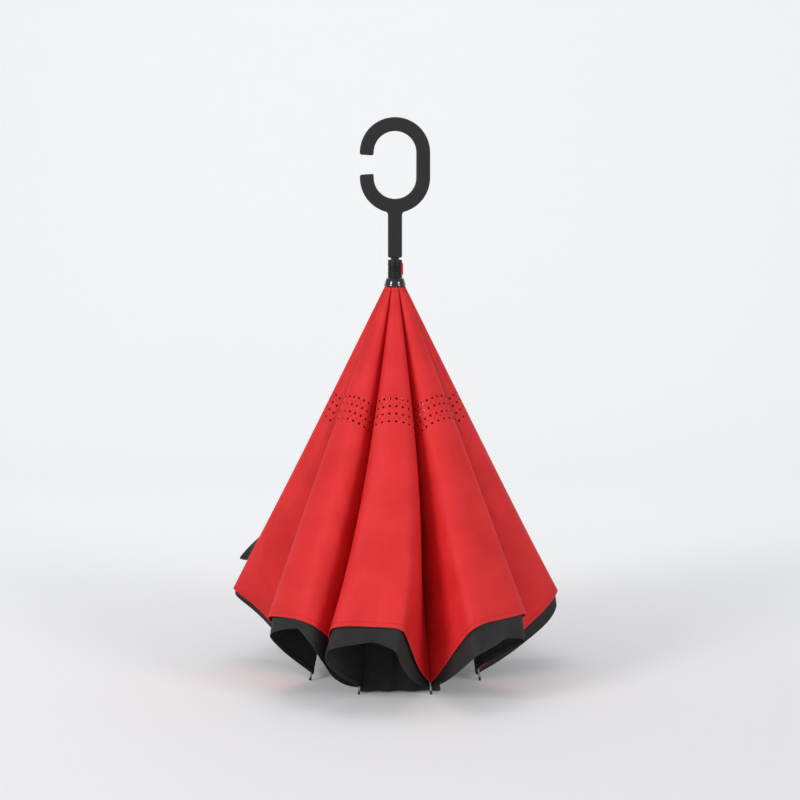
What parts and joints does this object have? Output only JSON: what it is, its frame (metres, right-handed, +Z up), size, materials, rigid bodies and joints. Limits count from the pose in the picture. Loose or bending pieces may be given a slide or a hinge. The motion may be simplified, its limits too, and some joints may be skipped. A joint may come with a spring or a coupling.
{
  "type": "inverted umbrella",
  "caption": "Closed inverted umbrella with an open hook handle, a sliding runner, hinged ribs and stretchers, and two layers of pleated cloth, standing on its rib tips.",
  "frame": {"origin": "centre of the ring of rib tips, on the floor under the shaft", "axes": "+Z up the shaft to the handle, -X the side of the hook's mouth, +X the side of the release button"},
  "size_m": [0.4846, 0.4846, 0.8],
  "materials": {
    "handle_plastic": "soft-touch black",
    "gloss_black": "polished black",
    "shaft_steel": "black painted tube",
    "bright_steel": "bright wire",
    "red_plastic": "red",
    "red_cloth": "woven, satin sheen",
    "black_cloth": "woven, dull"
  },
  "bodies": {
    "frame": {"c_handle": "handle_plastic", "shaft_tube": "shaft_steel", "crown_notch": "gloss_black", "crown_wire": "bright_steel", "ferrule": "gloss_black"},
    "runner": {"runner_grip": "gloss_black", "runner_notch": "gloss_black", "runner_wire": "bright_steel", "button_spring": "bright_steel"},
    "button": {"release_button": "red_plastic"},
    "catch": {"shaft_catch": "bright_steel"},
    "rib_1": {"rib_1": "bright_steel"},
    "stretcher_1": {"stretcher_1": "bright_steel"},
    "red_gore_1a": {"inner_canopy_1a": "red_cloth"},
    "black_gore_1a": {"outer_canopy_1a": "black_cloth"},
    "red_gore_1b": {"inner_canopy_1b": "red_cloth"},
    "black_gore_1b": {"outer_canopy_1b": "black_cloth"},
    "rib_2": {"rib_2": "bright_steel"},
    "stretcher_2": {"stretcher_2": "bright_steel"},
    "red_gore_2a": {"inner_canopy_2a": "red_cloth"},
    "black_gore_2a": {"outer_canopy_2a": "black_cloth"},
    "red_gore_2b": {"inner_canopy_2b": "red_cloth"},
    "black_gore_2b": {"outer_canopy_2b": "black_cloth"},
    "rib_3": {"rib_3": "bright_steel"},
    "stretcher_3": {"stretcher_3": "bright_steel"},
    "red_gore_3a": {"inner_canopy_3a": "red_cloth"},
    "black_gore_3a": {"outer_canopy_3a": "black_cloth"},
    "red_gore_3b": {"inner_canopy_3b": "red_cloth"},
    "black_gore_3b": {"outer_canopy_3b": "black_cloth"},
    "rib_4": {"rib_4": "bright_steel"},
    "stretcher_4": {"stretcher_4": "bright_steel"},
    "red_gore_4a": {"inner_canopy_4a": "red_cloth", "closing_strap": "black_cloth"},
    "black_gore_4a": {"outer_canopy_4a": "black_cloth"},
    "red_gore_4b": {"inner_canopy_4b": "red_cloth"},
    "black_gore_4b": {"outer_canopy_4b": "black_cloth"},
    "rib_5": {"rib_5": "bright_steel"},
    "stretcher_5": {"stretcher_5": "bright_steel"},
    "red_gore_5a": {"inner_canopy_5a": "red_cloth"},
    "black_gore_5a": {"outer_canopy_5a": "black_cloth"},
    "red_gore_5b": {"inner_canopy_5b": "red_cloth"},
    "black_gore_5b": {"outer_canopy_5b": "black_cloth"},
    "rib_6": {"rib_6": "bright_steel"},
    "stretcher_6": {"stretcher_6": "bright_steel"},
    "red_gore_6a": {"inner_canopy_6a": "red_cloth"},
    "black_gore_6a": {"outer_canopy_6a": "black_cloth"},
    "red_gore_6b": {"inner_canopy_6b": "red_cloth"},
    "black_gore_6b": {"outer_canopy_6b": "black_cloth"},
    "rib_7": {"rib_7": "bright_steel"},
    "stretcher_7": {"stretcher_7": "bright_steel"},
    "red_gore_7a": {"inner_canopy_7a": "red_cloth"},
    "black_gore_7a": {"outer_canopy_7a": "black_cloth"},
    "red_gore_7b": {"inner_canopy_7b": "red_cloth"},
    "black_gore_7b": {"outer_canopy_7b": "black_cloth"},
    "rib_8": {"rib_8": "bright_steel"},
    "stretcher_8": {"stretcher_8": "bright_steel"},
    "red_gore_8a": {"inner_canopy_8a": "red_cloth"},
    "black_gore_8a": {"outer_canopy_8a": "black_cloth"},
    "red_gore_8b": {"inner_canopy_8b": "red_cloth"},
    "black_gore_8b": {"outer_canopy_8b": "black_cloth"}
  },
  "joints": [
    {"name": "runner_slide", "type": "slide", "parent": "frame", "child": "runner", "axis": [0, 0, -1], "range_m": [0, 0.44391], "deforming": ["inner_canopy_1a", "outer_canopy_1a", "inner_canopy_1b", "outer_canopy_1b", "inner_canopy_2a", "outer_canopy_2a", "inner_canopy_2b", "outer_canopy_2b", "inner_canopy_3a", "outer_canopy_3a", "inner_canopy_3b", "outer_canopy_3b", "inner_canopy_4a", "outer_canopy_4a", "inner_canopy_4b", "outer_canopy_4b", "inner_canopy_5a", "outer_canopy_5a", "inner_canopy_5b", "outer_canopy_5b", "inner_canopy_6a", "outer_canopy_6a", "inner_canopy_6b", "outer_canopy_6b", "inner_canopy_7a", "outer_canopy_7a", "inner_canopy_7b", "outer_canopy_7b", "inner_canopy_8a", "outer_canopy_8a", "inner_canopy_8b", "outer_canopy_8b"]},
    {"name": "button_press", "type": "slide", "parent": "runner", "child": "button", "axis": [-1, 0, 0], "range_m": [0, 0.0013], "stiffness_N_per_m": 900, "deforming": ["button_spring"]},
    {"name": "catch_press", "type": "slide", "parent": "frame", "child": "catch", "axis": [-1, 0, 0], "range_m": [0, 0.0016], "stiffness_N_per_m": 900},
    {"name": "rib_1_hinge", "type": "hinge", "parent": "runner", "child": "rib_1", "pos_m": [0.0097, 0.00402, 0.5595], "axis": [0.3827, -0.9239, 0], "range_deg": [-0.3, 93.3]},
    {"name": "stretcher_1_hinge", "type": "hinge", "parent": "frame", "child": "stretcher_1", "pos_m": [0.0097, 0.00402, 0.06023], "axis": [-0.3827, 0.9239, 0], "range_deg": [-0.3, 52.11]},
    {"name": "red_gore_1a_unfold", "type": "hinge", "parent": "rib_1", "child": "red_gore_1a", "pos_m": [0.0089, 0.00595, 0.5595], "axis": [0.3521, 0.6975, -0.6241], "range_deg": [-0.3, 33.57]},
    {"name": "black_gore_1a_unfold", "type": "hinge", "parent": "stretcher_1", "child": "black_gore_1a", "pos_m": [0.0089, 0.00595, 0.06023], "axis": [-0.1652, -0.9537, -0.2514], "range_deg": [-0.3, 23.54]},
    {"name": "red_gore_1b_unfold", "type": "hinge", "parent": "rib_1", "child": "red_gore_1b", "pos_m": [0.0105, 0.00209, 0.5595], "axis": [-0.7422, 0.2442, 0.6241], "range_deg": [-0.3, 33.57]},
    {"name": "black_gore_1b_unfold", "type": "hinge", "parent": "stretcher_1", "child": "black_gore_1b", "pos_m": [0.0105, 0.00209, 0.06023], "axis": [0.7912, -0.5576, 0.2514], "range_deg": [-0.3, 23.54]},
    {"name": "rib_2_hinge", "type": "hinge", "parent": "runner", "child": "rib_2", "pos_m": [0.00402, 0.0097, 0.5595], "axis": [0.9239, -0.3827, 0], "range_deg": [-0.3, 93.3]},
    {"name": "stretcher_2_hinge", "type": "hinge", "parent": "frame", "child": "stretcher_2", "pos_m": [0.00402, 0.0097, 0.06023], "axis": [-0.9239, 0.3827, 0], "range_deg": [-0.3, 52.11]},
    {"name": "red_gore_2a_unfold", "type": "hinge", "parent": "rib_2", "child": "red_gore_2a", "pos_m": [0.00209, 0.0105, 0.5595], "axis": [-0.2442, 0.7422, -0.6241], "range_deg": [-0.3, 33.57]},
    {"name": "black_gore_2a_unfold", "type": "hinge", "parent": "stretcher_2", "child": "black_gore_2a", "pos_m": [0.00209, 0.0105, 0.06023], "axis": [0.5576, -0.7912, -0.2514], "range_deg": [-0.3, 23.54]},
    {"name": "red_gore_2b_unfold", "type": "hinge", "parent": "rib_2", "child": "red_gore_2b", "pos_m": [0.00595, 0.0089, 0.5595], "axis": [-0.6975, -0.3521, 0.6241], "range_deg": [-0.3, 33.57]},
    {"name": "black_gore_2b_unfold", "type": "hinge", "parent": "stretcher_2", "child": "black_gore_2b", "pos_m": [0.00595, 0.0089, 0.06023], "axis": [0.9537, 0.1652, 0.2514], "range_deg": [-0.3, 23.54]},
    {"name": "rib_3_hinge", "type": "hinge", "parent": "runner", "child": "rib_3", "pos_m": [-0.00402, 0.0097, 0.5595], "axis": [0.9239, 0.3827, 0], "range_deg": [-0.3, 93.3]},
    {"name": "stretcher_3_hinge", "type": "hinge", "parent": "frame", "child": "stretcher_3", "pos_m": [-0.00402, 0.0097, 0.06023], "axis": [-0.9239, -0.3827, 0], "range_deg": [-0.3, 52.11]},
    {"name": "red_gore_3a_unfold", "type": "hinge", "parent": "rib_3", "child": "red_gore_3a", "pos_m": [-0.00595, 0.0089, 0.5595], "axis": [-0.6975, 0.3521, -0.6241], "range_deg": [-0.3, 33.57]},
    {"name": "black_gore_3a_unfold", "type": "hinge", "parent": "stretcher_3", "child": "black_gore_3a", "pos_m": [-0.00595, 0.0089, 0.06023], "axis": [0.9537, -0.1652, -0.2514], "range_deg": [-0.3, 23.54]},
    {"name": "red_gore_3b_unfold", "type": "hinge", "parent": "rib_3", "child": "red_gore_3b", "pos_m": [-0.00209, 0.0105, 0.5595], "axis": [-0.2442, -0.7422, 0.6241], "range_deg": [-0.3, 33.57]},
    {"name": "black_gore_3b_unfold", "type": "hinge", "parent": "stretcher_3", "child": "black_gore_3b", "pos_m": [-0.00209, 0.0105, 0.06023], "axis": [0.5576, 0.7912, 0.2514], "range_deg": [-0.3, 23.54]},
    {"name": "rib_4_hinge", "type": "hinge", "parent": "runner", "child": "rib_4", "pos_m": [-0.0097, 0.00402, 0.5595], "axis": [0.3827, 0.9239, 0], "range_deg": [-0.3, 93.3]},
    {"name": "stretcher_4_hinge", "type": "hinge", "parent": "frame", "child": "stretcher_4", "pos_m": [-0.0097, 0.00402, 0.06023], "axis": [-0.3827, -0.9239, 0], "range_deg": [-0.3, 52.11]},
    {"name": "red_gore_4a_unfold", "type": "hinge", "parent": "rib_4", "child": "red_gore_4a", "pos_m": [-0.0105, 0.00209, 0.5595], "axis": [-0.7422, -0.2442, -0.6241], "range_deg": [-0.3, 33.57]},
    {"name": "black_gore_4a_unfold", "type": "hinge", "parent": "stretcher_4", "child": "black_gore_4a", "pos_m": [-0.0105, 0.00209, 0.06023], "axis": [0.7912, 0.5576, -0.2514], "range_deg": [-0.3, 23.54]},
    {"name": "red_gore_4b_unfold", "type": "hinge", "parent": "rib_4", "child": "red_gore_4b", "pos_m": [-0.0089, 0.00595, 0.5595], "axis": [0.3521, -0.6975, 0.6241], "range_deg": [-0.3, 33.57]},
    {"name": "black_gore_4b_unfold", "type": "hinge", "parent": "stretcher_4", "child": "black_gore_4b", "pos_m": [-0.0089, 0.00595, 0.06023], "axis": [-0.1652, 0.9537, 0.2514], "range_deg": [-0.3, 23.54]},
    {"name": "rib_5_hinge", "type": "hinge", "parent": "runner", "child": "rib_5", "pos_m": [-0.0097, -0.00402, 0.5595], "axis": [-0.3827, 0.9239, 0], "range_deg": [-0.3, 93.3]},
    {"name": "stretcher_5_hinge", "type": "hinge", "parent": "frame", "child": "stretcher_5", "pos_m": [-0.0097, -0.00402, 0.06023], "axis": [0.3827, -0.9239, 0], "range_deg": [-0.3, 52.11]},
    {"name": "red_gore_5a_unfold", "type": "hinge", "parent": "rib_5", "child": "red_gore_5a", "pos_m": [-0.0089, -0.00595, 0.5595], "axis": [-0.3521, -0.6975, -0.6241], "range_deg": [-0.3, 33.57]},
    {"name": "black_gore_5a_unfold", "type": "hinge", "parent": "stretcher_5", "child": "black_gore_5a", "pos_m": [-0.0089, -0.00595, 0.06023], "axis": [0.1652, 0.9537, -0.2514], "range_deg": [-0.3, 23.54]},
    {"name": "red_gore_5b_unfold", "type": "hinge", "parent": "rib_5", "child": "red_gore_5b", "pos_m": [-0.0105, -0.00209, 0.5595], "axis": [0.7422, -0.2442, 0.6241], "range_deg": [-0.3, 33.57]},
    {"name": "black_gore_5b_unfold", "type": "hinge", "parent": "stretcher_5", "child": "black_gore_5b", "pos_m": [-0.0105, -0.00209, 0.06023], "axis": [-0.7912, 0.5576, 0.2514], "range_deg": [-0.3, 23.54]},
    {"name": "rib_6_hinge", "type": "hinge", "parent": "runner", "child": "rib_6", "pos_m": [-0.00402, -0.0097, 0.5595], "axis": [-0.9239, 0.3827, 0], "range_deg": [-0.3, 93.3]},
    {"name": "stretcher_6_hinge", "type": "hinge", "parent": "frame", "child": "stretcher_6", "pos_m": [-0.00402, -0.0097, 0.06023], "axis": [0.9239, -0.3827, 0], "range_deg": [-0.3, 52.11]},
    {"name": "red_gore_6a_unfold", "type": "hinge", "parent": "rib_6", "child": "red_gore_6a", "pos_m": [-0.00209, -0.0105, 0.5595], "axis": [0.2442, -0.7422, -0.6241], "range_deg": [-0.3, 33.57]},
    {"name": "black_gore_6a_unfold", "type": "hinge", "parent": "stretcher_6", "child": "black_gore_6a", "pos_m": [-0.00209, -0.0105, 0.06023], "axis": [-0.5576, 0.7912, -0.2514], "range_deg": [-0.3, 23.54]},
    {"name": "red_gore_6b_unfold", "type": "hinge", "parent": "rib_6", "child": "red_gore_6b", "pos_m": [-0.00595, -0.0089, 0.5595], "axis": [0.6975, 0.3521, 0.6241], "range_deg": [-0.3, 33.57]},
    {"name": "black_gore_6b_unfold", "type": "hinge", "parent": "stretcher_6", "child": "black_gore_6b", "pos_m": [-0.00595, -0.0089, 0.06023], "axis": [-0.9537, -0.1652, 0.2514], "range_deg": [-0.3, 23.54]},
    {"name": "rib_7_hinge", "type": "hinge", "parent": "runner", "child": "rib_7", "pos_m": [0.00402, -0.0097, 0.5595], "axis": [-0.9239, -0.3827, 0], "range_deg": [-0.3, 93.3]},
    {"name": "stretcher_7_hinge", "type": "hinge", "parent": "frame", "child": "stretcher_7", "pos_m": [0.00402, -0.0097, 0.06023], "axis": [0.9239, 0.3827, 0], "range_deg": [-0.3, 52.11]},
    {"name": "red_gore_7a_unfold", "type": "hinge", "parent": "rib_7", "child": "red_gore_7a", "pos_m": [0.00595, -0.0089, 0.5595], "axis": [0.6975, -0.3521, -0.6241], "range_deg": [-0.3, 33.57]},
    {"name": "black_gore_7a_unfold", "type": "hinge", "parent": "stretcher_7", "child": "black_gore_7a", "pos_m": [0.00595, -0.0089, 0.06023], "axis": [-0.9537, 0.1652, -0.2514], "range_deg": [-0.3, 23.54]},
    {"name": "red_gore_7b_unfold", "type": "hinge", "parent": "rib_7", "child": "red_gore_7b", "pos_m": [0.00209, -0.0105, 0.5595], "axis": [0.2442, 0.7422, 0.6241], "range_deg": [-0.3, 33.57]},
    {"name": "black_gore_7b_unfold", "type": "hinge", "parent": "stretcher_7", "child": "black_gore_7b", "pos_m": [0.00209, -0.0105, 0.06023], "axis": [-0.5576, -0.7912, 0.2514], "range_deg": [-0.3, 23.54]},
    {"name": "rib_8_hinge", "type": "hinge", "parent": "runner", "child": "rib_8", "pos_m": [0.0097, -0.00402, 0.5595], "axis": [-0.3827, -0.9239, 0], "range_deg": [-0.3, 93.3]},
    {"name": "stretcher_8_hinge", "type": "hinge", "parent": "frame", "child": "stretcher_8", "pos_m": [0.0097, -0.00402, 0.06023], "axis": [0.3827, 0.9239, 0], "range_deg": [-0.3, 52.11]},
    {"name": "red_gore_8a_unfold", "type": "hinge", "parent": "rib_8", "child": "red_gore_8a", "pos_m": [0.0105, -0.00209, 0.5595], "axis": [0.7422, 0.2442, -0.6241], "range_deg": [-0.3, 33.57]},
    {"name": "black_gore_8a_unfold", "type": "hinge", "parent": "stretcher_8", "child": "black_gore_8a", "pos_m": [0.0105, -0.00209, 0.06023], "axis": [-0.7912, -0.5576, -0.2514], "range_deg": [-0.3, 23.54]},
    {"name": "red_gore_8b_unfold", "type": "hinge", "parent": "rib_8", "child": "red_gore_8b", "pos_m": [0.0089, -0.00595, 0.5595], "axis": [-0.3521, 0.6975, 0.6241], "range_deg": [-0.3, 33.57]},
    {"name": "black_gore_8b_unfold", "type": "hinge", "parent": "stretcher_8", "child": "black_gore_8b", "pos_m": [0.0089, -0.00595, 0.06023], "axis": [0.1652, -0.9537, 0.2514], "range_deg": [-0.3, 23.54]}
  ],
  "couplings": [
    {"joint": "rib_1_hinge", "follows": "runner_slide", "rad_per_m": 3.6565},
    {"joint": "stretcher_1_hinge", "follows": "runner_slide", "rad_per_m": 2.037},
    {"joint": "red_gore_1a_unfold", "follows": "runner_slide", "rad_per_m": 1.308},
    {"joint": "black_gore_1a_unfold", "follows": "runner_slide", "rad_per_m": 0.91362},
    {"joint": "red_gore_1b_unfold", "follows": "runner_slide", "rad_per_m": 1.308},
    {"joint": "black_gore_1b_unfold", "follows": "runner_slide", "rad_per_m": 0.91362},
    {"joint": "rib_2_hinge", "follows": "runner_slide", "rad_per_m": 3.6565},
    {"joint": "stretcher_2_hinge", "follows": "runner_slide", "rad_per_m": 2.037},
    {"joint": "red_gore_2a_unfold", "follows": "runner_slide", "rad_per_m": 1.308},
    {"joint": "black_gore_2a_unfold", "follows": "runner_slide", "rad_per_m": 0.91362},
    {"joint": "red_gore_2b_unfold", "follows": "runner_slide", "rad_per_m": 1.308},
    {"joint": "black_gore_2b_unfold", "follows": "runner_slide", "rad_per_m": 0.91362},
    {"joint": "rib_3_hinge", "follows": "runner_slide", "rad_per_m": 3.6565},
    {"joint": "stretcher_3_hinge", "follows": "runner_slide", "rad_per_m": 2.037},
    {"joint": "red_gore_3a_unfold", "follows": "runner_slide", "rad_per_m": 1.308},
    {"joint": "black_gore_3a_unfold", "follows": "runner_slide", "rad_per_m": 0.91362},
    {"joint": "red_gore_3b_unfold", "follows": "runner_slide", "rad_per_m": 1.308},
    {"joint": "black_gore_3b_unfold", "follows": "runner_slide", "rad_per_m": 0.91362},
    {"joint": "rib_4_hinge", "follows": "runner_slide", "rad_per_m": 3.6565},
    {"joint": "stretcher_4_hinge", "follows": "runner_slide", "rad_per_m": 2.037},
    {"joint": "red_gore_4a_unfold", "follows": "runner_slide", "rad_per_m": 1.308},
    {"joint": "black_gore_4a_unfold", "follows": "runner_slide", "rad_per_m": 0.91362},
    {"joint": "red_gore_4b_unfold", "follows": "runner_slide", "rad_per_m": 1.308},
    {"joint": "black_gore_4b_unfold", "follows": "runner_slide", "rad_per_m": 0.91362},
    {"joint": "rib_5_hinge", "follows": "runner_slide", "rad_per_m": 3.6565},
    {"joint": "stretcher_5_hinge", "follows": "runner_slide", "rad_per_m": 2.037},
    {"joint": "red_gore_5a_unfold", "follows": "runner_slide", "rad_per_m": 1.308},
    {"joint": "black_gore_5a_unfold", "follows": "runner_slide", "rad_per_m": 0.91362},
    {"joint": "red_gore_5b_unfold", "follows": "runner_slide", "rad_per_m": 1.308},
    {"joint": "black_gore_5b_unfold", "follows": "runner_slide", "rad_per_m": 0.91362},
    {"joint": "rib_6_hinge", "follows": "runner_slide", "rad_per_m": 3.6565},
    {"joint": "stretcher_6_hinge", "follows": "runner_slide", "rad_per_m": 2.037},
    {"joint": "red_gore_6a_unfold", "follows": "runner_slide", "rad_per_m": 1.308},
    {"joint": "black_gore_6a_unfold", "follows": "runner_slide", "rad_per_m": 0.91362},
    {"joint": "red_gore_6b_unfold", "follows": "runner_slide", "rad_per_m": 1.308},
    {"joint": "black_gore_6b_unfold", "follows": "runner_slide", "rad_per_m": 0.91362},
    {"joint": "rib_7_hinge", "follows": "runner_slide", "rad_per_m": 3.6565},
    {"joint": "stretcher_7_hinge", "follows": "runner_slide", "rad_per_m": 2.037},
    {"joint": "red_gore_7a_unfold", "follows": "runner_slide", "rad_per_m": 1.308},
    {"joint": "black_gore_7a_unfold", "follows": "runner_slide", "rad_per_m": 0.91362},
    {"joint": "red_gore_7b_unfold", "follows": "runner_slide", "rad_per_m": 1.308},
    {"joint": "black_gore_7b_unfold", "follows": "runner_slide", "rad_per_m": 0.91362},
    {"joint": "rib_8_hinge", "follows": "runner_slide", "rad_per_m": 3.6565},
    {"joint": "stretcher_8_hinge", "follows": "runner_slide", "rad_per_m": 2.037},
    {"joint": "red_gore_8a_unfold", "follows": "runner_slide", "rad_per_m": 1.308},
    {"joint": "black_gore_8a_unfold", "follows": "runner_slide", "rad_per_m": 0.91362},
    {"joint": "red_gore_8b_unfold", "follows": "runner_slide", "rad_per_m": 1.308},
    {"joint": "black_gore_8b_unfold", "follows": "runner_slide", "rad_per_m": 0.91362}
  ]
}
